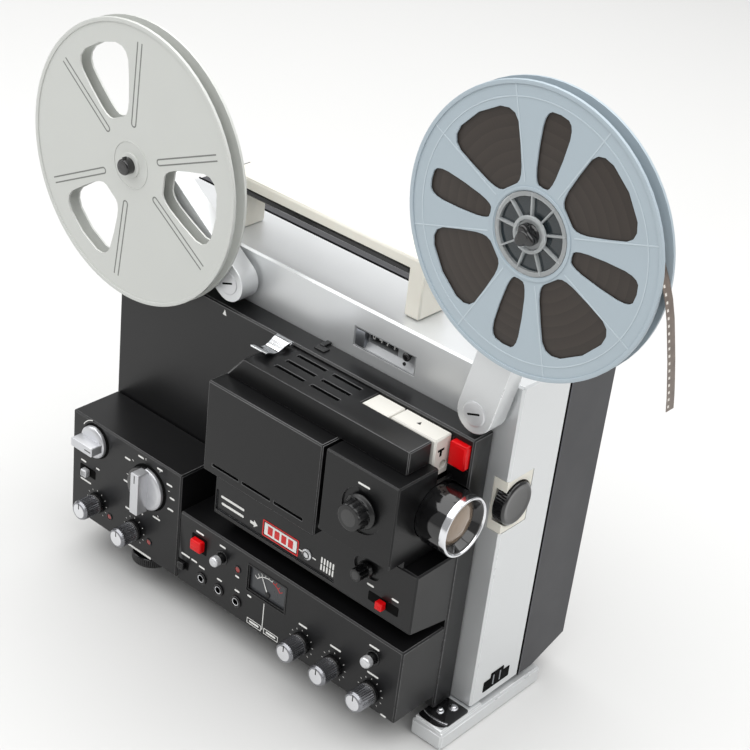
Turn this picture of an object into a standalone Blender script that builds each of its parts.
"""Sound film projector with two folding reel arms, built as separate pieces in one frame.

Metres, +Z up.  The control side faces -Y, the lens points along +X and the feet stand on z = 0.
The origin is below the middle of the whole projector.  LEFT, RIGHT and FACE are the datums:
the silver frame's two ends and its front face.
"""
import math

import bmesh
import bpy
from mathutils import Matrix, Vector

# ---- case ----
BODY_WIDTH = 0.3475
BODY_TOP = 0.2736
FRAME_BOTTOM = 0.0168
FRAME_DEPTH = 0.054
COVER_DEPTH = 0.0527
FRAME_WALL = 0.003
SHELL_WALL = 0.0026
BAND_HEIGHT = 0.0384
COLUMN_WIDTH = 0.0167
CASING_DEPTH = 0.0202
COVER_BOTTOM = 0.015
COVER_CHAMFER = 0.012
BASE_THICKNESS = 0.0025

# ---- fits ----
GAP = 0.0003
RUNNING_FIT = 0.0001

# ---- front blocks (how far their faces stand ahead of the frame's face) ----
BLOCK_FRONT = 0.0638
BLOCK_BOTTOM = 0.0287
CONTROL_TOP = 0.1173
CONTROL_WIDTH = 0.1171
AMPLIFIER_TOP = 0.0887
MID_FRONT = 0.0598
MID_WIDTH = 0.183
MID_BOTTOM_FRONT = 0.1012
MID_BOTTOM_BACK = 0.0939
MID_TOP = 0.1482

# ---- lamp house and lens ----
LAMP_FRONT = 0.075
LAMP_COVER_WIDTH = 0.1042
LAMP_COVER_LIP = 0.0036
FILM_SLOT = 0.003
LENS_BLOCK_WIDTH = 0.0616
HOUSE_TOP = 0.2155
DECK_TOP = 0.233
DECK_FRONT = 0.060
OPTICAL_HEIGHT = 0.1835
OPTICAL_AHEAD = 0.0355
LENS_RADIUS = 0.0213
LENS_TUBE_RADIUS = 0.0199
LENS_REACH = 0.026
FOCUS_REACH = 0.0124

# ---- knobs and switches ----
SHAFT_RADIUS = 0.003
SHAFT_INSET = 0.010
KNOB_RADIUS = 0.0072
KNOB_REACH = 0.018

# ---- arms and reels ----
ARM_THICKNESS = 0.016
ARM_BEHIND = 0.003
ARM_RADIUS = 0.0137
PIVOT_RADIUS = 0.008
SUPPLY_ARM_LENGTH = 0.14165
SUPPLY_ARM_ANGLE = math.radians(78.5)
SUPPLY_PIVOT_IN = 0.0215
TAKEUP_ARM_LENGTH = 0.1061
TAKEUP_ARM_ANGLE = math.radians(145.6)
TAKEUP_PIVOT_IN = 0.1075
PIVOT_DROP = 0.0211
SUPPLY_REEL_RADIUS = 0.089
TAKEUP_REEL_RADIUS = 0.10235
REEL_WIDTH = 0.011
FLANGE_THICKNESS = 0.0014
REEL_BACK = 0.022
REEL_BORE = 0.00635
HUB_RADIUS = 0.0254
PACK_RADIUS = 0.076
TAIL_THICKNESS = 0.0004

# ---- places that follow from the sizes above ----
SUPPLY_OVERHANG = SUPPLY_ARM_LENGTH * math.cos(SUPPLY_ARM_ANGLE) - SUPPLY_PIVOT_IN + SUPPLY_REEL_RADIUS
TAKEUP_OVERHANG = TAKEUP_REEL_RADIUS - TAKEUP_PIVOT_IN - TAKEUP_ARM_LENGTH * math.cos(TAKEUP_ARM_ANGLE)
LEFT = TAKEUP_OVERHANG - (TAKEUP_OVERHANG + BODY_WIDTH + SUPPLY_OVERHANG) / 2
RIGHT = LEFT + BODY_WIDTH
FACE = (LAMP_FRONT + FOCUS_REACH - FRAME_DEPTH - GAP - COVER_DEPTH) / 2
REAR = FACE + FRAME_DEPTH + GAP + COVER_DEPTH
BAND_BOTTOM = BODY_TOP - BAND_HEIGHT
CASING_FACE = FACE - CASING_DEPTH
CASING_RIGHT = RIGHT - COLUMN_WIDTH
BLOCK_FACE = FACE - BLOCK_FRONT
BLOCK_BACK = CASING_FACE - GAP
CONTROL_LEFT = LEFT + 0.0016
CONTROL_RIGHT = CONTROL_LEFT + CONTROL_WIDTH
MID_FACE = FACE - MID_FRONT
MID_LEFT = CASING_RIGHT - MID_WIDTH
LAMP_FACE = FACE - LAMP_FRONT
LAMP_LEFT = MID_LEFT + 0.0018
LAMP_RIGHT = LAMP_LEFT + LAMP_COVER_WIDTH
LENS_LEFT = LAMP_RIGHT + FILM_SLOT
LENS_RIGHT = LENS_LEFT + LENS_BLOCK_WIDTH
DECK_LEFT = LAMP_LEFT + 0.0016
DECK_RIGHT = LENS_RIGHT - 0.007
GUIDE_BACK = BLOCK_BACK
GUIDE_FRONT = FACE - 0.037
PUSH_LEFT = LENS_LEFT - 0.0055
PUSH_RIGHT = LENS_LEFT + 0.018
OPTICAL_Y = FACE - OPTICAL_AHEAD
SUPPLY_PIVOT = Vector((RIGHT - SUPPLY_PIVOT_IN, FACE - ARM_BEHIND, BODY_TOP - PIVOT_DROP))
TAKEUP_PIVOT = Vector((LEFT + TAKEUP_PIVOT_IN, FACE - ARM_BEHIND, BODY_TOP - PIVOT_DROP))

TURN = {
    "x": Matrix(((0, 0, 1, 0), (1, 0, 0, 0), (0, 1, 0, 0), (0, 0, 0, 1))),
    "front": Matrix(((1, 0, 0, 0), (0, 0, -1, 0), (0, 1, 0, 0), (0, 0, 0, 1))),
    "z": Matrix.Identity(4),
}


def start_scene():
    for old in list(bpy.data.objects):
        bpy.data.objects.remove(old)
    for name in ("film_projector", "cutters"):
        bpy.context.scene.collection.children.link(bpy.data.collections.new(name))
    bpy.data.collections["cutters"].hide_render = True


def linear(code):
    """An sRGB hex colour as linear red, green, blue and alpha."""
    parts = [int(code[i:i + 2], 16) / 255 for i in (0, 2, 4)]
    return [c / 12.92 if c <= 0.04045 else ((c + 0.055) / 1.055) ** 2.4 for c in parts] + [1.0]


# Each finish: colour, roughness, metallic.
FINISHES = {
    "black": ("383836", 0.55, 0.0),
    "dark_grey": ("4a4a4c", 0.55, 0.0),
    "silver": ("c4c9cc", 0.38, 0.4),
    "cream": ("e4e2d8", 0.45, 0.0),
    "white": ("e2e0da", 0.40, 0.0),
    "red": ("dc1414", 0.35, 0.0),
    "chrome": ("d8d8d8", 0.12, 1.0),
    "rubber": ("202020", 0.85, 0.0),
    "white_reel": ("e4e6e2", 0.40, 0.0),
    "grey_reel": ("a5b4bc", 0.40, 0.0),
    "clear": ("c8d4da", 0.10, 0.0),
    "film": ("4b423c", 0.30, 0.0),
    "glass": ("9fb0b8", 0.05, 0.0),
    "steel": ("8c8f92", 0.35, 1.0),
}


def paint(obj, finish):
    colour, roughness, metallic = FINISHES[finish]
    material = bpy.data.materials.new(obj.name + "_" + finish)
    material.use_nodes = True
    shader = material.node_tree.nodes["Principled BSDF"]
    shader.inputs["Base Color"].default_value = linear(colour)
    shader.inputs["Roughness"].default_value = roughness
    shader.inputs["Metallic"].default_value = metallic
    obj.data.materials.append(material)


def place(name, mesh, matrix, finish):
    """A named object at matrix; a piece with a finish is a part, one without is a cutter."""
    obj = bpy.data.objects.new(name, mesh)
    obj.matrix_world = matrix
    bpy.data.collections["film_projector" if finish else "cutters"].objects.link(obj)
    if finish:
        paint(obj, finish)
    else:
        obj.hide_render = True
        obj.display_type = "WIRE"
    return obj


def to_mesh(name, bm):
    mesh = bpy.data.meshes.new(name)
    bm.to_mesh(mesh)
    bm.free()
    return mesh


def smooth(obj, degrees=35):
    obj.data.shade_smooth()
    obj.data.set_sharp_from_angle(angle=math.radians(degrees))
    return obj


def bevel(obj, width, segments=1):
    modifier = obj.modifiers.new("rounded edges", "BEVEL")
    modifier.width = width
    modifier.segments = segments
    modifier.limit_method = "ANGLE"
    return obj


def box(name, low, high, finish=None, edge=0.0, origin=None):
    low, high = Vector(low), Vector(high)
    origin = (low + high) / 2 if origin is None else Vector(origin)
    bm = bmesh.new()
    middle = Matrix.Translation((low + high) / 2 - origin)
    bmesh.ops.create_cube(bm, size=1.0, matrix=middle @ Matrix.Diagonal((*(high - low), 1.0)))
    obj = place(name, to_mesh(name, bm), Matrix.Translation(origin), finish)
    return bevel(obj, edge) if edge else obj


def sides(radius):
    """Enough flats for a circle of this radius."""
    for limit, count in ((0.0045, 16), (0.0125, 22), (0.030, 36)):
        if radius < limit:
            return count
    return 60


def cylinder(name, axis, origin, radius, start, end, finish=None):
    """A cylinder of radius along axis, from start to end measured from origin."""
    bm = bmesh.new()
    middle = Matrix.Translation((0, 0, (start + end) / 2))
    bmesh.ops.create_cone(bm, cap_ends=True, segments=sides(radius), radius1=radius, radius2=radius,
                          depth=end - start, matrix=middle)
    obj = place(name, to_mesh(name, bm), Matrix.Translation(origin) @ TURN[axis], finish)
    return smooth(obj)


def turned(name, axis, origin, profile, finish=None, flats=0):
    """A turned piece: profile is (radius, distance along axis) and runs down its outer side.

    A profile that starts on the axis is solid; any other one closes on itself as a ring.
    """
    bm = bmesh.new()
    points = [bm.verts.new((radius, 0.0, along)) for radius, along in profile]
    for first, second in zip(points, points[1:]):
        bm.edges.new((first, second))
    if profile[0][0] > 0:
        bm.edges.new((points[-1], points[0]))
    obj = place(name, to_mesh(name, bm), Matrix.Translation(origin) @ TURN[axis], finish)
    screw = obj.modifiers.new("turned", "SCREW")
    screw.steps = screw.render_steps = flats or sides(max(radius for radius, along in profile))
    screw.use_merge_vertices = True
    screw.merge_threshold = 0.00001
    return obj


def slab(name, axis, origin, loops, start, end, finish=None):
    """A flat outline with holes, from start to end along axis; loops are points about origin."""
    curve = bpy.data.curves.new(name, "CURVE")
    curve.dimensions = "2D"
    curve.fill_mode = "BOTH"
    curve.extrude = (end - start) / 2
    for loop in loops:
        spline = curve.splines.new("POLY")
        spline.points.add(len(loop) - 1)
        for point, (u, v) in zip(spline.points, loop):
            point.co = (u, v, 0.0, 1.0)
        spline.use_cyclic_u = True
    guide = bpy.data.objects.new(name + "_outline", curve)
    bpy.context.scene.collection.objects.link(guide)
    graph = bpy.context.evaluated_depsgraph_get()
    mesh = bpy.data.meshes.new_from_object(guide.evaluated_get(graph))
    bpy.data.objects.remove(guide)
    bm = bmesh.new()
    bm.from_mesh(mesh)
    bmesh.ops.remove_doubles(bm, verts=bm.verts, dist=0.000005)
    bmesh.ops.translate(bm, verts=bm.verts, vec=(0, 0, (start + end) / 2))
    bm.to_mesh(mesh)
    bm.free()
    obj = place(name, mesh, Matrix.Translation(origin) @ TURN[axis], finish)
    return smooth(obj, 30)


def arc(centre, radius, start, end, count):
    """Points on an arc, angles in radians, both ends included."""
    steps = [start + (end - start) * i / (count - 1) for i in range(count)]
    return [(centre[0] + radius * math.cos(a), centre[1] + radius * math.sin(a)) for a in steps]


def circle(radius, centre=(0.0, 0.0)):
    count = sides(radius)
    return arc(centre, radius, 0.0, math.tau * (count - 1) / count, count)


def cut(obj, *others):
    for other in others:
        add_boolean(obj, other, "DIFFERENCE")
    return obj


def join(obj, *others):
    for other in others:
        add_boolean(obj, other, "UNION")
    return obj


def add_boolean(obj, other, operation):
    modifier = obj.modifiers.new(other.name, "BOOLEAN")
    modifier.operation = operation
    modifier.object = other


def shaft_hole(wall, x, face_y, z, radius=SHAFT_RADIUS):
    """A running-fit hole through a front wall whose outer face is at face_y."""
    drill = cylinder(wall.name + "_hole", "front", (x, face_y, z), radius + RUNNING_FIT,
                     -2 * SHELL_WALL, 0.002)
    cut(wall, drill)


def inner_box(name, low, high, wall, open_side):
    """The hollow of a shell: the outer box less its wall, run out through open_side."""
    low, high = Vector(low) + Vector((wall,) * 3), Vector(high) - Vector((wall,) * 3)
    if open_side == "back":
        high.y += 2 * wall
    if open_side == "bottom":
        low.z -= 2 * wall
    return box(name + "_hollow", low, high)


def shell(name, low, high, finish, edge=0.0012, open_side="back"):
    obj = box(name, low, high, finish, edge)
    return cut(obj, inner_box(name, low, high, SHELL_WALL, open_side))


# ---------------------------------------------------------------- case
COUNTER_LEFT = RIGHT - 0.1396
COUNTER_RIGHT = RIGHT - 0.0855
COUNTER_BOTTOM = BODY_TOP - 0.0311
COUNTER_TOP = BODY_TOP - 0.0162
DRUM_RADIUS = 0.0046
DRUM_LEFT = COUNTER_LEFT + 0.0102
DRUM_RIGHT = DRUM_LEFT + 0.024
DRUM_Z = COUNTER_BOTTOM + 0.0100
DRUM_Y = FACE + 0.0096
RESET_X = COUNTER_RIGHT - 0.0089
RESET_Z = COUNTER_BOTTOM + 0.0105
INCHING_Y = FACE + 0.0115
INCHING_RADIUS = 0.016
INCHING_NOTCH = 0.0117
INCHING_HALF = 0.0202
FOOT_LEFT = RIGHT - 0.0238
FOOT_RIGHT = RIGHT + 0.0033
FOOT_FRONT = FACE - 0.034
FOOT_BACK = FACE + 0.078
FOOT_STEM_RADIUS = 0.005
FOOT_STEM_TOP = 0.045
FOOT_STEM_Y = FACE + 0.030


def silver_frame():
    frame = box("silver_frame", (LEFT, FACE, FRAME_BOTTOM), (RIGHT, FACE + FRAME_DEPTH, BODY_TOP),
                "silver", 0.0015)
    inside = box("frame_inside", (LEFT + FRAME_WALL, FACE + FRAME_WALL, FRAME_BOTTOM + FRAME_WALL),
                 (RIGHT - FRAME_WALL, FACE + FRAME_DEPTH + 0.01, BODY_TOP - FRAME_WALL))
    front = box("frame_front", (LEFT + FRAME_WALL, FACE - 0.01, FRAME_BOTTOM + FRAME_WALL),
                (CASING_RIGHT - FRAME_WALL, FACE + 0.01, BAND_BOTTOM - FRAME_WALL))
    counter = box("frame_counter", (COUNTER_LEFT, FACE - 0.01, COUNTER_BOTTOM),
                  (COUNTER_RIGHT, FACE + 0.01, COUNTER_TOP))
    notch = box("frame_notch", (RIGHT - INCHING_NOTCH, FACE - 0.01, OPTICAL_HEIGHT - INCHING_HALF),
                (RIGHT + 0.01, INCHING_Y + INCHING_RADIUS, OPTICAL_HEIGHT + INCHING_HALF))
    supply = cylinder("frame_supply", "front", SUPPLY_PIVOT, PIVOT_RADIUS + RUNNING_FIT, -0.012, 0.0)
    takeup = cylinder("frame_takeup", "front", TAKEUP_PIVOT, PIVOT_RADIUS + RUNNING_FIT, -0.012, 0.0)
    stem = cylinder("frame_stem", "z", ((FOOT_LEFT + FOOT_RIGHT) / 2, FOOT_STEM_Y, 0.0),
                    FOOT_STEM_RADIUS + RUNNING_FIT, 0.010, FRAME_BOTTOM + 2 * FRAME_WALL)
    cut(frame, inside, front, counter, notch, supply, takeup, stem)


def front_casing():
    low = (LEFT + GAP, CASING_FACE, FRAME_BOTTOM)
    high = (CASING_RIGHT, FACE - GAP, BAND_BOTTOM)
    casing = shell("front_casing", low, high, "black")
    lamp = box("casing_lamp", (MID_LEFT + 0.008, FACE - 0.05, MID_TOP + 0.0018),
               (CASING_RIGHT - 0.018, CASING_FACE + 0.006, HOUSE_TOP - 0.0012))
    lens = cylinder("casing_lens", "x", (LENS_LEFT, OPTICAL_Y, OPTICAL_HEIGHT), LENS_RADIUS + 0.0012,
                    0.0, LENS_BLOCK_WIDTH + LENS_REACH)
    loop = box("casing_loop", (LOOP_LEFT - GAP, CASING_FACE - 0.01, LOOP_BOTTOM - GAP),
               (LOOP_RIGHT + GAP, CASING_FACE + 0.016, LOOP_TOP + GAP))
    cut(casing, lamp, lens, loop)


def rear_profile(inset, front):
    """The rear cover's side outline as (y, z) about the datum face, drawn in by inset."""
    start = FRAME_DEPTH + GAP
    top = BODY_TOP - inset
    bottom = COVER_BOTTOM + inset
    back = start + COVER_DEPTH - inset
    return [(front, bottom), (start + 0.0155, bottom), (back, bottom + COVER_CHAMFER), (back, top),
            (front, top)]


def rear_cover():
    start = FRAME_DEPTH + GAP
    cover = slab("rear_cover", "x", (LEFT, FACE, 0.0), [rear_profile(0.0, start)], 0.0, BODY_WIDTH,
                 "dark_grey")
    bevel(cover, 0.0015)
    hollow = slab("cover_hollow", "x", (LEFT, FACE, 0.0), [rear_profile(SHELL_WALL, start - 0.01)],
                  SHELL_WALL, BODY_WIDTH - SHELL_WALL)
    inlet = box("cover_inlet", (INLET_X - INLET_HALF - GAP, REAR - 0.01, INLET_Z - INLET_HIGH - GAP),
                (INLET_X + INLET_HALF + GAP, REAR + 0.01, INLET_Z + INLET_HIGH + GAP))
    cut(cover, hollow, inlet)


INLET_X = LEFT + 0.060
INLET_Z = 0.070
INLET_HALF = 0.013
INLET_HIGH = 0.009


def mains_inlet():
    inlet = box("mains_inlet", (INLET_X - INLET_HALF, REAR - 0.018, INLET_Z - INLET_HIGH),
                (INLET_X + INLET_HALF, REAR - 0.0002, INLET_Z + INLET_HIGH), "black")
    socket = box("inlet_socket", (INLET_X - INLET_HALF + 0.003, REAR - 0.014,
                                  INLET_Z - INLET_HIGH + 0.0025),
                 (INLET_X + INLET_HALF - 0.003, REAR + 0.005, INLET_Z + INLET_HIGH - 0.0025))
    cut(inlet, socket)


def base_and_feet():
    base_top = FRAME_BOTTOM - GAP
    box("base_plate", (LEFT + 0.002, FACE - 0.017, base_top - BASE_THICKNESS),
        (FOOT_LEFT - 0.003, FACE + FRAME_DEPTH, base_top), "black")
    foot_top = base_top - BASE_THICKNESS - GAP
    for name, y in (("rubber_foot_front", FACE - 0.006), ("rubber_foot_rear", FACE + 0.042)):
        turned(name, "z", (LEFT + 0.024, y, 0.0),
               [(0, foot_top), (0.0105, foot_top), (0.009, 0.001), (0.008, 0), (0, 0)], "rubber")
    top = FRAME_BOTTOM - 2 * GAP
    foot = box("tilt_foot", (FOOT_LEFT, FOOT_FRONT, 0.0), (FOOT_RIGHT, FOOT_BACK, 0.0135), "silver", 0.0015)
    plate = box("foot_plate", (FOOT_LEFT + 0.0015, FOOT_FRONT + 0.0015, 0.008),
                (FOOT_RIGHT - 0.0015, FOOT_FRONT + 0.046, top), edge=0.001)
    stem = cylinder("foot_stem", "z", ((FOOT_LEFT + FOOT_RIGHT) / 2, FOOT_STEM_Y, 0.0), FOOT_STEM_RADIUS,
                    0.010, FOOT_STEM_TOP)
    join(foot, plate, stem)


HANDLE_LEFT = LEFT + 0.0695
HANDLE_RIGHT = RIGHT - 0.097
HANDLE_FRONT = FACE + 0.012
HANDLE_BACK = FACE + 0.040
HANDLE_TOP = BODY_TOP + 0.0429
HANDLE_POST = 0.0125
HANDLE_BAR = 0.008
HANDLE_INSERT = 0.0052


def carry_handle():
    bar_bottom = HANDLE_TOP - HANDLE_BAR
    handle = box("carry_handle", (HANDLE_LEFT, HANDLE_FRONT, BODY_TOP + GAP),
                 (HANDLE_RIGHT, HANDLE_BACK, HANDLE_TOP), "cream", 0.0012)
    cut(handle, box("handle_gap", (HANDLE_LEFT + HANDLE_POST, HANDLE_FRONT - 0.01, BODY_TOP - 0.01),
                    (HANDLE_RIGHT - HANDLE_POST, HANDLE_BACK + 0.01, bar_bottom)))
    box("handle_insert", (HANDLE_LEFT + HANDLE_POST + GAP, HANDLE_FRONT + 0.0008,
                          bar_bottom - GAP - HANDLE_INSERT),
        (HANDLE_RIGHT - HANDLE_POST - GAP, HANDLE_BACK - 0.0008, bar_bottom - GAP), "black", 0.001)


def control_block():
    block = shell("control_block", (CONTROL_LEFT, BLOCK_FACE, BLOCK_BOTTOM),
                  (CONTROL_RIGHT, BLOCK_BACK, CONTROL_TOP), "black")
    for x, z in (LAMP_SELECTOR, LEVEL_LEFT, LEVEL_RIGHT, SELECTOR):
        shaft_hole(block, x, BLOCK_FACE, z)
    cut(block, switch_slot(LEFT_SWITCH, BLOCK_FACE, LEFT_TRAVEL))


def amplifier_block():
    block = shell("amplifier_block", (CONTROL_RIGHT + 0.0008, BLOCK_FACE, BLOCK_BOTTOM),
                  (CASING_RIGHT, BLOCK_BACK, AMPLIFIER_TOP), "black")
    for x, z in (BASS, TREBLE, VOLUME):
        shaft_hole(block, x, BLOCK_FACE, z)
    shaft_hole(block, POWER[0], BLOCK_FACE, POWER[1], POWER_RADIUS)
    shaft_hole(block, RECORD[0], BLOCK_FACE, RECORD[1], RECORD_RADIUS)
    for x, z in JACKS:
        shaft_hole(block, x, BLOCK_FACE, z, JACK_RADIUS)
    lock = box("amplifier_lock", (LOCK[0] - LOCK_HALF - RUNNING_FIT, BLOCK_FACE - 0.01,
                                  LOCK[1] - LOCK_HIGH - RUNNING_FIT),
               (LOCK[0] + LOCK_HALF + RUNNING_FIT, BLOCK_FACE + 0.01, LOCK[1] + LOCK_HIGH + RUNNING_FIT))
    meter = box("amplifier_meter", (METER_LEFT - GAP, BLOCK_FACE - 0.01, METER_BOTTOM - GAP),
                (METER_RIGHT + GAP, BLOCK_FACE + 0.01, METER_TOP + GAP))
    cut(block, lock, meter, switch_slot(AMP_SWITCH, BLOCK_FACE, SMALL_TRAVEL))


def mid_block():
    loop = [(MID_FACE, MID_BOTTOM_FRONT), (BLOCK_BACK, MID_BOTTOM_BACK), (BLOCK_BACK, MID_TOP),
            (MID_FACE, MID_TOP)]
    block = slab("mid_block", "x", (MID_LEFT, 0.0, 0.0), [loop], 0.0, MID_WIDTH, "black")
    bevel(block, 0.0012)
    wall = SHELL_WALL
    inner = [(MID_FACE + wall, MID_BOTTOM_FRONT + wall), (BLOCK_BACK + wall, MID_BOTTOM_BACK + wall),
             (BLOCK_BACK + wall, MID_TOP - wall), (MID_FACE + wall, MID_TOP - wall)]
    hollow = slab("mid_hollow", "x", (MID_LEFT, 0.0, 0.0), [inner], wall, MID_WIDTH - wall)
    plate = box("mid_plate", (PLATE_LEFT, MID_FACE - 0.01, PLATE_BOTTOM),
                (PLATE_RIGHT, MID_FACE + 0.0012, PLATE_TOP))
    recess = slab("mid_recess", "front", (FRAMER[0], MID_FACE, FRAMER[1]), [stadium(0.0115, 0.0065)],
                  -0.0015, 0.01)
    cut(block, hollow, plate, recess, switch_slot(SOUND_SWITCH, MID_FACE, SOUND_TRAVEL))
    shaft_hole(block, FRAMER[0], MID_FACE, FRAMER[1])


def stadium(half_length, radius):
    """An outline with two straight sides and round ends, long along its first axis."""
    reach = half_length - radius
    return (arc((reach, 0.0), radius, -math.pi / 2, math.pi / 2, 9)
            + arc((-reach, 0.0), radius, math.pi / 2, 3 * math.pi / 2, 9))


# ---------------------------------------------------------------- places of the controls (x, z)
LAMP_SELECTOR = (LEFT + 0.0275, 0.102)
LEFT_SWITCH = (LEFT + 0.0195, 0.071)
LEVEL_LEFT = (LEFT + 0.0307, 0.0485)
LEVEL_RIGHT = (LEFT + 0.0724, 0.0464)
SELECTOR = (LEFT + 0.0855, 0.0910)
SPEED_WHEEL = (LEFT + 0.079, FACE - 0.050)
AMP_SWITCH = (CONTROL_RIGHT + 0.0070, 0.0453)
SMALL_TRAVEL = 0.0015
LEFT_TRAVEL = 0.004
LOCK = (CONTROL_RIGHT + 0.0218, 0.071)
LOCK_HALF = 0.007
LOCK_HIGH = 0.0045
RECORD = (CONTROL_RIGHT + 0.0449, 0.0722)
JACKS = [(CONTROL_RIGHT + 0.0262 + 0.0177 * i, 0.0433) for i in range(3)]
JACK_RADIUS = 0.0034
METER_LEFT = CONTROL_RIGHT + 0.0703
METER_RIGHT = METER_LEFT + 0.0372
METER_BOTTOM = 0.0589
METER_TOP = 0.0815
BASS = (RIGHT - 0.1037, 0.0450)
TREBLE = (RIGHT - 0.0733, 0.0440)
VOLUME = (RIGHT - 0.0395, 0.0430)
POWER = (RIGHT - 0.0407, 0.0713)
POWER_RADIUS = 0.0042
RECORD_RADIUS = 0.0040
PLATE_LEFT = MID_LEFT + 0.002
PLATE_RIGHT = MID_LEFT + 0.115
PLATE_BOTTOM = 0.105
PLATE_TOP = 0.122
FRAMER = (RIGHT - 0.058, 0.1325)
SOUND_SWITCH = (RIGHT - 0.0415, 0.1135)
SOUND_TRAVEL = 0.010
FOCUS = (RIGHT - 0.0568, 0.1854)
LOOP_LEFT = RIGHT - 0.033
LOOP_RIGHT = RIGHT - 0.019
LOOP_BOTTOM = HOUSE_TOP - 0.0035
LOOP_TOP = LOOP_BOTTOM + 0.018
SWITCH_HIGH = 0.003
SWITCH_HALF = 0.0030


def switch_slot(centre, face_y, travel):
    """The slot that a slide switch's stem runs in."""
    x, z = centre
    reach = SWITCH_HALF + travel + RUNNING_FIT
    return box("switch_slot", (x - reach, face_y - 0.01, z - SWITCH_HIGH - RUNNING_FIT),
               (x + reach, face_y + 0.01, z + SWITCH_HIGH + RUNNING_FIT))


# ---------------------------------------------------------------- lamp house
def lamp_cover():
    top = HOUSE_TOP
    bottom = MID_TOP + GAP
    lip_back = MID_FACE - GAP
    loop = [(LAMP_FACE, bottom - LAMP_COVER_LIP), (lip_back, bottom - LAMP_COVER_LIP), (lip_back, bottom),
            (BLOCK_BACK, bottom), (BLOCK_BACK, top), (LAMP_FACE, top)]
    cover = slab("lamp_cover", "x", (LAMP_LEFT, HINGE_Y, 0.0), [[(y - HINGE_Y, z) for y, z in loop]],
                 0.0, LAMP_COVER_WIDTH, "black")
    bevel(cover, 0.001)
    hollow = box("lamp_hollow", (LAMP_LEFT + SHELL_WALL, LAMP_FACE + SHELL_WALL, bottom + SHELL_WALL),
                 (LAMP_RIGHT - SHELL_WALL, BLOCK_BACK + 0.01, top - SHELL_WALL))
    cut(cover, hollow)
    for start, end in COOLING_SLOTS:
        cut(cover, box("cooling_slot", (LAMP_LEFT + start, LAMP_FACE - 0.01, COOLING_SLOT_Z - 0.0011),
                       (LAMP_LEFT + end, LAMP_FACE + 0.01, COOLING_SLOT_Z + 0.0011)))


HINGE_Y = BLOCK_BACK - 0.0012
COOLING_SLOT_Z = MID_TOP + 0.0044
COOLING_SLOTS = ((0.0088, 0.0338), (0.0374, 0.0637), (0.0672, 0.0935))


def lens_block():
    bottom = MID_TOP + GAP
    low = (LENS_LEFT, LAMP_FACE, bottom)
    high = (LENS_RIGHT, BLOCK_BACK, HOUSE_TOP)
    block = shell("lens_block", low, high, "black", 0.001)
    step = box("lens_step", (LENS_LEFT - 0.01, LAMP_FACE - 0.01, bottom - 0.01),
               (LENS_RIGHT + 0.01, MID_FACE - GAP, bottom + 0.0055))
    floor = box("lens_floor", (LENS_LEFT + 0.0002, LAMP_FACE + 0.0002, bottom + 0.0056),
                (LENS_RIGHT - 0.0002, MID_FACE + 0.006, bottom + 0.0056 + SHELL_WALL))
    guide = box("lens_guide", (GUIDE_LEFT - GAP, GUIDE_FRONT - GAP, GUIDE_BOTTOM - GAP),
                (LENS_RIGHT + 0.01, BLOCK_BACK + 0.01, HOUSE_TOP + 0.01))
    bore = cylinder("lens_bore", "x", (LENS_RIGHT, OPTICAL_Y, OPTICAL_HEIGHT),
                    LENS_TUBE_RADIUS + RUNNING_FIT,
                    -2 * SHELL_WALL, 0.01)
    light = cylinder("lens_light", "x", (LENS_LEFT, OPTICAL_Y, OPTICAL_HEIGHT), 0.006, -0.01,
                     2 * SHELL_WALL)
    ring = cylinder("focus_recess", "front", (FOCUS[0], LAMP_FACE, FOCUS[1]), 0.0166, -0.0012, 0.01)
    join(block, floor)
    cut(block, step, guide, bore, light, ring)
    shaft_hole(block, FOCUS[0], LAMP_FACE, FOCUS[1])


GUIDE_LEFT = PUSH_RIGHT + GAP
GUIDE_RIGHT = LENS_RIGHT - 0.0051
GUIDE_BOTTOM = OPTICAL_HEIGHT + LENS_TUBE_RADIUS + 0.0008
VENT_ROWS = (0.027, 0.0377, 0.0483)
VENT_COLUMNS = ((0.0346, 0.0606), (0.0666, 0.0916))
PUSH_BOTTOM = HOUSE_TOP + GAP + 0.0052
PUSH_TRAVEL = 0.003


def lamphouse_top():
    low, high = HOUSE_TOP + GAP, DECK_TOP
    width = DECK_RIGHT - DECK_LEFT
    loop = [(0.0, low), (width, low), (width, high), (0.014, high)]
    front, back = FACE - DECK_FRONT, BLOCK_BACK
    deck = slab("lamphouse_top", "front", (DECK_LEFT, back, 0.0), [loop], 0.0, back - front, "black")
    bevel(deck, 0.0008)
    wall = SHELL_WALL
    inner = [(wall + 0.002, low - 0.01), (width - wall, low - 0.01), (width - wall, high - wall),
             (0.014 + wall * 0.6, high - wall), (wall + 0.002, low + 0.001)]
    hollow = slab("deck_hollow", "front", (DECK_LEFT, back, 0.0), [inner], -0.01, back - front - wall)
    push = box("deck_push", (PUSH_LEFT - GAP, FACE - 0.0388, low - 0.01),
               (DECK_RIGHT + 0.01, back + 0.01, high + 0.01))
    cut(deck, hollow, push)
    for start, end in VENT_COLUMNS:
        for ahead in VENT_ROWS:
            cut(deck, box("vent", (LAMP_LEFT + start, FACE - ahead - 0.0015, high - 0.01),
                          (LAMP_LEFT + end, FACE - ahead + 0.0015, high + 0.01)))


def push_and_guide():
    box("push_button", (PUSH_LEFT, FACE - 0.0385, PUSH_BOTTOM), (PUSH_RIGHT, BLOCK_BACK, DECK_TOP), "white",
               0.001)
    guide = box("threading_guide", (GUIDE_LEFT, GUIDE_FRONT, GUIDE_BOTTOM),
                (GUIDE_RIGHT, GUIDE_BACK, DECK_TOP),
                "white", 0.001)
    hole = cylinder("guide_hole", "x", (GUIDE_RIGHT, GUIDE_FRONT + 0.010, GUIDE_BOTTOM + 0.008), 0.003,
                    -0.006, 0.01)
    cut(guide, hole)


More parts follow.
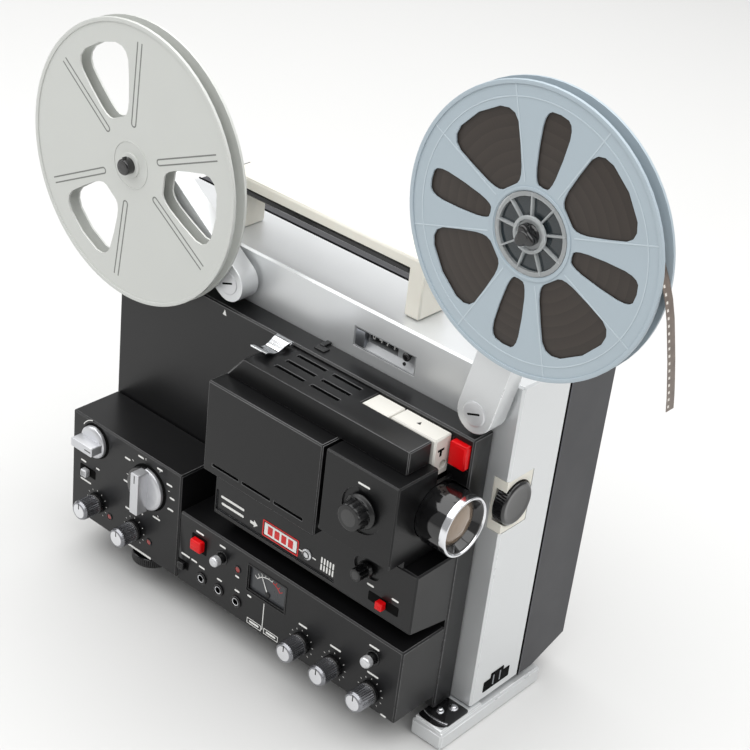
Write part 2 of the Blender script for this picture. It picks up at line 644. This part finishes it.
def loop_button():
    box("loop_button", (LOOP_LEFT, CASING_FACE - 0.0047, LOOP_BOTTOM),
        (LOOP_RIGHT, CASING_FACE + 0.010, LOOP_TOP),
        "red", 0.001)


LEVER_WIDTH = 0.0148
LEVER_LEFT = LAMP_LEFT + 0.0117
LEVER_AXIS = Vector((LEVER_LEFT + LEVER_WIDTH / 2, CASING_FACE - 0.0042, DECK_TOP + 0.0034))


def threading_lever():
    """A bent strip: a round knuckle on its axis, a dip, and a finger tip that lifts again."""
    knuckle = arc((0.0, 0.0), 0.0026, math.radians(-80), math.radians(90), 9)
    steps = [i / 12 for i in range(1, 13)]
    wave = [(-0.0255 * t, 0.0005 + 0.0021 * math.cos(2.6 * math.pi * t)) for t in steps]
    under = [(y, z - 0.0016) for y, z in reversed(wave)]
    loop = [(y, z) for y, z in knuckle + wave + under]
    slab("threading_lever", "x", LEVER_AXIS, [loop], -LEVER_WIDTH / 2, LEVER_WIDTH / 2, "chrome")


# ---------------------------------------------------------------- knobs and switches
def knob(name, place_xz, face_y, reach, radius, finish="silver", skirt=0.0):
    """A turned knob on a shaft that runs through the wall behind it."""
    skirt = skirt or radius
    profile = [(0, reach), (radius - 0.0006, reach), (radius, reach - 0.0006), (radius, 0.35 * reach),
               (skirt, 0.3 * reach), (skirt, GAP), (SHAFT_RADIUS, GAP), (SHAFT_RADIUS, -SHAFT_INSET),
               (0, -SHAFT_INSET)]
    return turned(name, "front", (place_xz[0], face_y, place_xz[1]), profile, finish)


def plunger(name, centre, radius, reach=0.010):
    """A round push knob that runs straight through the front wall."""
    turned(name, "front", (centre[0], BLOCK_FACE, centre[1]),
           [(0, reach), (radius - 0.0005, reach), (radius, reach - 0.0005), (radius, -SHAFT_INSET),
            (0, -SHAFT_INSET)],
           "silver")


def bar_knob(name, centre, disc_radius, disc, half_long, half_wide, reach, upright):
    """A disc on a shaft with a finger bar across it."""
    x, z = centre
    profile = [(0, disc), (disc_radius - 0.0008, disc), (disc_radius, disc - 0.0008), (disc_radius, GAP),
               (SHAFT_RADIUS, GAP), (SHAFT_RADIUS, -SHAFT_INSET), (0, -SHAFT_INSET)]
    obj = turned(name, "front", (x, BLOCK_FACE, z), profile, "silver")
    half_x, half_z = (half_wide, half_long) if upright else (half_long, half_wide)
    bar = box(name + "_bar", (x - half_x, BLOCK_FACE - reach, z - half_z),
              (x + half_x, BLOCK_FACE - 0.001, z + half_z),
              edge=0.0008)
    return join(obj, bar)


def slide_switch(name, centre, face_y, reach, finish):
    x, z = centre
    box(name, (x - SWITCH_HALF, face_y - reach, z - SWITCH_HIGH),
        (x + SWITCH_HALF, face_y + 0.008, z + SWITCH_HIGH),
        finish, 0.0006)


def controls():
    knob("bass_knob", BASS, BLOCK_FACE, KNOB_REACH, KNOB_RADIUS, skirt=0.0082)
    knob("treble_knob", TREBLE, BLOCK_FACE, KNOB_REACH, KNOB_RADIUS, skirt=0.0082)
    knob("volume_knob", VOLUME, BLOCK_FACE, KNOB_REACH, KNOB_RADIUS, skirt=0.0082)
    knob("level_knob_left", LEVEL_LEFT, BLOCK_FACE, KNOB_REACH, KNOB_RADIUS, skirt=0.0082)
    knob("level_knob_right", LEVEL_RIGHT, BLOCK_FACE, KNOB_REACH, KNOB_RADIUS, skirt=0.0082)
    plunger("power_knob", POWER, POWER_RADIUS)
    plunger("record_knob", RECORD, RECORD_RADIUS)
    knob("framer_knob", FRAMER, MID_FACE + 0.0015, 0.0135, 0.0062, "black")
    knob("focus_knob", FOCUS, LAMP_FACE + 0.0012, FOCUS_REACH + 0.0012, 0.0105, "black", 0.0125)
    bar_knob("lamp_selector", LAMP_SELECTOR, 0.013, 0.004, 0.011, 0.0035, 0.0142, False)
    bar_knob("selector_knob", SELECTOR, 0.0172, 0.005, 0.0175, 0.004, 0.0165, True)
    slide_switch("left_slide_switch", LEFT_SWITCH, BLOCK_FACE, 0.005, "black")
    slide_switch("amp_slide_switch", AMP_SWITCH, BLOCK_FACE, 0.004, "black")
    slide_switch("sound_switch", SOUND_SWITCH, MID_FACE, 0.0055, "red")
    x, z = LOCK
    box("lock_button", (x - LOCK_HALF, BLOCK_FACE - 0.0048, z - LOCK_HIGH),
        (x + LOCK_HALF, BLOCK_FACE + 0.009, z + LOCK_HIGH),
        "red", 0.0008)
    x, y = SPEED_WHEEL
    turned("speed_thumbwheel", "z", (x, y, BLOCK_BOTTOM),
           [(0, 0.012), (0.003, 0.012), (0.003, -GAP), (0.0145, -GAP), (0.0155, -0.0013), (0.0155, -0.0087),
            (0.0145, -0.010), (0, -0.010)], "black")
    cut(bpy.data.objects["control_block"],
        cylinder("wheel_hole", "z", (x, y, BLOCK_BOTTOM), 0.003 + RUNNING_FIT, -0.005, 2 * SHELL_WALL))


def level_meter():
    case = box("meter_case", (METER_LEFT, BLOCK_FACE + GAP, METER_BOTTOM),
               (METER_RIGHT, BLOCK_FACE + 0.016, METER_TOP),
               "black")
    cut(case, box("meter_hollow", (METER_LEFT + 0.0015, BLOCK_FACE - 0.01, METER_BOTTOM + 0.0015),
                  (METER_RIGHT - 0.0015, BLOCK_FACE + 0.011, METER_TOP - 0.0015)))
    x, y, z = (METER_LEFT + METER_RIGHT) / 2, BLOCK_FACE + 0.0065, METER_BOTTOM + 0.005
    cut(case, cylinder("meter_pivot_hole", "front", (x, y, z), 0.0010 + RUNNING_FIT, -0.008, 0.0))
    needle = turned("meter_needle", "front", (x, y, z),
                    [(0, 0.001), (0.0022, 0.001), (0.0022, -0.001), (0.0010, -0.001), (0.0010, -0.007),
                     (0, -0.007)],
                    "black")
    join(needle, box("needle_arm", (x - 0.0003, y - 0.0004, z), (x + 0.0003, y + 0.0004, z + 0.0115)))


def counter():
    bezel = box("counter_bezel", (COUNTER_LEFT + GAP, FACE + 0.0002, COUNTER_BOTTOM + GAP),
                (COUNTER_RIGHT - GAP, FACE + 0.018, COUNTER_TOP - GAP), "silver")
    tray = slab("counter_tray", "x", (COUNTER_LEFT, FACE, 0.0),
                [[(-0.01, COUNTER_BOTTOM + 0.001), (0.001, COUNTER_BOTTOM + 0.001),
                  (0.005, COUNTER_BOTTOM + 0.005),
                  (0.005, COUNTER_TOP - 0.001), (-0.01, COUNTER_TOP - 0.001)]], 0.0012,
                  COUNTER_RIGHT - COUNTER_LEFT - 0.0012)
    drums = box("drum_window", (DRUM_LEFT - 0.0006, FACE + 0.001, DRUM_Z - DRUM_RADIUS - 0.0004),
                (DRUM_RIGHT + 0.0006, FACE + 0.03, DRUM_Z + DRUM_RADIUS - 0.0002))
    reset = cylinder("reset_hole", "front", (RESET_X, FACE, RESET_Z), 0.0015 + RUNNING_FIT, -0.03, 0.0)
    cut(bezel, tray, drums, reset)
    turned("counter_drums", "x", (DRUM_LEFT, DRUM_Y, DRUM_Z),
           [(0, 0.024), (DRUM_RADIUS - 0.0006, 0.024), (DRUM_RADIUS - 0.0006, 0.0), (0, 0.0)], "black")
    turned("counter_reset", "front", (RESET_X, FACE, RESET_Z),
           [(0, 0.0005), (0.0026, 0.0005), (0.0031, -0.0004), (0.0031, -0.0022), (0.0015, -0.0022),
            (0.0015, -0.016),
            (0, -0.016)], "black")


def inching_drive():
    radius = INCHING_RADIUS
    middle = (RIGHT, INCHING_Y, OPTICAL_HEIGHT)
    left = RIGHT - INCHING_NOTCH
    bezel = box("inching_bezel", (left - 0.003, FACE + FRAME_WALL + GAP,
                                  OPTICAL_HEIGHT - INCHING_HALF + GAP),
                (RIGHT - FRAME_WALL - GAP, INCHING_Y + radius - GAP, OPTICAL_HEIGHT + INCHING_HALF - GAP),
                "cream")
    lip = box("bezel_lip", (left + GAP, FACE, OPTICAL_HEIGHT - INCHING_HALF + GAP),
              (RIGHT - GAP, INCHING_Y + radius - GAP, OPTICAL_HEIGHT + INCHING_HALF - GAP))
    pocket = cylinder("bezel_pocket", "x", middle, radius + 0.0008, 0.003 - INCHING_NOTCH, 0.02)
    bore = cylinder("bezel_bore", "x", middle, SHAFT_RADIUS + RUNNING_FIT, -0.03, 0.0)
    join(bezel, lip)
    cut(bezel, pocket, bore)
    turned("inching_knob", "x", middle,
           [(0, 0.0022), (0.0145, 0.0022), (radius, 0.0010), (radius, -0.0082), (SHAFT_RADIUS, -0.0082),
            (SHAFT_RADIUS, GEAR_X - RIGHT + 0.004), (GEAR_RADIUS, GEAR_X - RIGHT + 0.004),
            (GEAR_RADIUS, GEAR_X - RIGHT - 0.002),
            (0, GEAR_X - RIGHT - 0.002)], "black")
    turned("shutter_shaft", "x", (GEAR_X, INCHING_Y - 2 * GEAR_RADIUS - GAP, OPTICAL_HEIGHT),
           [(0, 0.006), (0.002, 0.006), (0.002, 0.004), (GEAR_RADIUS, 0.004), (GEAR_RADIUS, 0.0),
            (0.002, 0.0),
            (0.002, -0.0134), (SHUTTER_RADIUS, -0.0134), (SHUTTER_RADIUS, -0.0146), (0.002, -0.0146),
            (0.002, -0.018),
            (0, -0.018)], "steel", flats=24)


GEAR_RADIUS = 0.0111
SHUTTER_RADIUS = 0.0305
GEAR_X = LENS_LEFT + 0.005


def light_and_power():
    turned("lamp_reflector", "x", (LAMP_RIGHT - 0.074, OPTICAL_Y, OPTICAL_HEIGHT),
           [(0.0245, 0.034), (0.0253, 0.033), (0.0215, 0.020), (0.013, 0.010), (0.006, 0.007), (0.006, 0.0),
            (0.003, 0.0), (0.003, 0.010), (0.0115, 0.0125), (0.0195, 0.0215)], "glass", flats=24)
    box("transformer", (LEFT + 0.030, FACE + 0.012, FRAME_BOTTOM + FRAME_WALL + GAP),
        (LEFT + 0.095, FACE + 0.068, 0.082), "steel", 0.002)
    motor = cylinder("drive_motor", "front", (LEFT + 0.165, FACE + 0.090, 0.062), 0.026, 0.0, 0.066,
                     "steel")
    foot = box("motor_foot", (LEFT + 0.150, FACE + 0.030, FRAME_BOTTOM + FRAME_WALL + GAP),
               (LEFT + 0.180, FACE + 0.052, 0.045))
    join(motor, foot)


def lens():
    place_of = (LENS_RIGHT, OPTICAL_Y, OPTICAL_HEIGHT)
    reach, outer, tube = LENS_REACH, LENS_RADIUS, LENS_TUBE_RADIUS
    turned("lens_barrel", "x", place_of,
           [(0.0185, reach), (0.0200, reach), (0.0200, reach - 0.004), (outer, reach - 0.005),
            (outer, 0.004),
            (tube, 0.004), (tube, -0.036), (0.010, -0.036), (0.010, reach - 0.011), (0.0176, reach - 0.011),
            (0.0176, reach - 0.001)], "black")
    turned("lens_glass", "x", place_of,
           [(0, reach - 0.0045), (0.010, reach - 0.0055), (0.0172, reach - 0.008), (0.0172, reach - 0.0107),
            (0, reach - 0.0107)], "glass")


# ---------------------------------------------------------------- arms and reels
def hub_of(pivot, length, angle):
    return Vector((pivot.x + length * math.cos(angle), FACE, pivot.z + length * math.sin(angle)))


SUPPLY_HUB = hub_of(SUPPLY_PIVOT, SUPPLY_ARM_LENGTH, SUPPLY_ARM_ANGLE)
TAKEUP_HUB = hub_of(TAKEUP_PIVOT, TAKEUP_ARM_LENGTH, TAKEUP_ARM_ANGLE)
REEL_FRONT = REEL_BACK + REEL_WIDTH
SPINDLE_BORE = 0.004
WINDOW_POINTS = 20


def reel_arm(name, pivot, length, angle):
    """A flat arm with round ends, its pivot pin running back through the frame's front wall."""
    across = angle + math.pi / 2
    hub = (length * math.cos(angle), length * math.sin(angle))
    loop = arc(hub, ARM_RADIUS, angle - math.pi / 2, across, 15) + arc((0, 0), ARM_RADIUS, across,
                                                                       across + math.pi, 15)
    arm = slab(name, "front", pivot, [loop], 0.0, ARM_THICKNESS, "silver")
    bevel(arm, 0.001)
    pin = cylinder(name + "_pin", "front", pivot, PIVOT_RADIUS, -0.010, 0.002)
    bore = cylinder(name + "_bore", "front", (pivot.x + hub[0], pivot.y, pivot.z + hub[1]),
                    SPINDLE_BORE + RUNNING_FIT, -0.01, ARM_THICKNESS + 0.01)
    join(arm, pin)
    cut(arm, bore)


def spindle(name, hub, finish="black"):
    """A keyed spindle: journal in the arm, seat flange, and a shaft through the reel."""
    front = ARM_BEHIND + ARM_THICKNESS
    turned(name, "front", hub,
           [(0, REEL_FRONT + 0.008), (0.0035, REEL_FRONT + 0.008), (0.0050, REEL_FRONT + 0.006),
            (0.0050, REEL_FRONT + 0.0005),
            (REEL_BORE - 0.0001, REEL_FRONT - 0.0005), (REEL_BORE - 0.0001, REEL_BACK - GAP),
            (0.011, REEL_BACK - GAP),
            (0.011, front + GAP), (SPINDLE_BORE, front + GAP), (SPINDLE_BORE, ARM_BEHIND),
            (0, ARM_BEHIND)], finish)


def window(centre, inner, outer, half_inner, half_outer):
    """A reel window with rounded corners, in polar form about the hub: a squared-off ellipse."""
    points = []
    for i in range(WINDOW_POINTS):
        turn = -math.tau * i / WINDOW_POINTS
        across = math.copysign(abs(math.sin(turn)) ** 0.5, math.sin(turn))
        along = math.copysign(abs(math.cos(turn)) ** 0.5, math.cos(turn))
        radius = (inner + outer) / 2 + along * (outer - inner) / 2
        share = (radius - inner) / (outer - inner)
        angle = math.radians(centre + across * (half_inner + share * (half_outer - half_inner)))
        points.append((radius * math.cos(angle), radius * math.sin(angle)))
    return points


def flange(name, hub, windows, radius, bore, behind, finish):
    loops = [circle(radius), circle(bore)] + windows
    return slab(name, "front", hub, loops, behind, behind + FLANGE_THICKNESS, finish)


def supply_reel():
    windows = [window(129.5 - 90 * i, 0.0295, 0.0750, 20, 23) for i in range(4)]
    windows += [window(84.5 - 90 * i, 0.0295, 0.0750, 11, 8) for i in range(4)]
    seat = HUB_RADIUS + 0.0002
    flange("supply_reel_front", SUPPLY_HUB, windows, SUPPLY_REEL_RADIUS, seat,
           REEL_FRONT - FLANGE_THICKNESS, "grey_reel")
    flange("supply_reel_rear", SUPPLY_HUB, windows, SUPPLY_REEL_RADIUS, seat, REEL_BACK, "grey_reel")
    front, back, web = REEL_FRONT, REEL_BACK, REEL_BACK + 0.002
    turned("supply_reel_hub", "front", SUPPLY_HUB,
           [(0.0225, front), (HUB_RADIUS, front), (HUB_RADIUS, back), (REEL_BORE, back),
            (REEL_BORE, front), (0.0090, front),
            (0.0090, web), (0.0225, web)], "clear")
    inside = REEL_BACK + FLANGE_THICKNESS + GAP
    width = REEL_WIDTH - 2 * FLANGE_THICKNESS - 2 * GAP
    turned("film_pack", "front", SUPPLY_HUB,
           [(HUB_RADIUS + GAP, inside + width), (PACK_RADIUS, inside + width), (PACK_RADIUS, inside),
            (HUB_RADIUS + GAP, inside)], "film")


def takeup_reel():
    windows = [window(115 - 120 * i, 0.0335, 0.0860, 20, 21) for i in range(3)]
    behind = REEL_FRONT - FLANGE_THICKNESS
    flange("takeup_reel_front", TAKEUP_HUB, windows, TAKEUP_REEL_RADIUS, REEL_BORE, behind, "white_reel")
    rear = flange("takeup_reel_rear", TAKEUP_HUB, windows, TAKEUP_REEL_RADIUS, REEL_BORE, REEL_BACK,
                  "white_reel")
    join(rear, turned("takeup_hub", "front", TAKEUP_HUB,
                      [(0.0250, behind - GAP), (0.0250, REEL_BACK + 0.001), (REEL_BORE, REEL_BACK + 0.001),
                       (REEL_BORE, behind - GAP)]))


# Route of the free film end as (x, z) about the supply hub, leaving the pack at its right side.
TAIL_ROUTE = ((0.0668, 0.0386), (0.0736, 0.0285), (0.0808, 0.0165), (0.0872, 0.0052), (0.0918, -0.0048),
              (0.0953, -0.0155), (0.0981, -0.0268), (0.1009, -0.0383), (0.1033, -0.0498), (0.1051, -0.0590),
              (0.1064, -0.0677))


def film_tail():
    """A strip of film as wide as the pack, following its route with a thin wall."""
    width = REEL_WIDTH - 2 * FLANGE_THICKNESS - 2 * GAP
    near = SUPPLY_HUB.y - REEL_BACK - FLANGE_THICKNESS - GAP
    bm = bmesh.new()
    rows = []
    for x, z in TAIL_ROUTE:
        rows.append([bm.verts.new((x, y - SUPPLY_HUB.y, z)) for y in (near, near - width)])
    for first, second in zip(rows, rows[1:]):
        bm.faces.new((first[0], second[0], second[1], first[1]))
    obj = place("film_tail", to_mesh("film_tail", bm), Matrix.Translation(SUPPLY_HUB), "film")
    wall = obj.modifiers.new("film thickness", "SOLIDIFY")
    wall.thickness = TAIL_THICKNESS
    wall.offset = 0.0


def main():
    start_scene()
    silver_frame()
    front_casing()
    rear_cover()
    mains_inlet()
    base_and_feet()
    carry_handle()
    control_block()
    amplifier_block()
    mid_block()
    lamp_cover()
    lens_block()
    lamphouse_top()
    push_and_guide()
    loop_button()
    threading_lever()
    controls()
    level_meter()
    counter()
    inching_drive()
    light_and_power()
    lens()
    reel_arm("supply_arm", SUPPLY_PIVOT, SUPPLY_ARM_LENGTH, SUPPLY_ARM_ANGLE)
    reel_arm("takeup_arm", TAKEUP_PIVOT, TAKEUP_ARM_LENGTH, TAKEUP_ARM_ANGLE)
    spindle("supply_spindle", SUPPLY_HUB)
    spindle("takeup_spindle", TAKEUP_HUB)
    supply_reel()
    takeup_reel()
    film_tail()
    bpy.context.view_layer.update()


main()
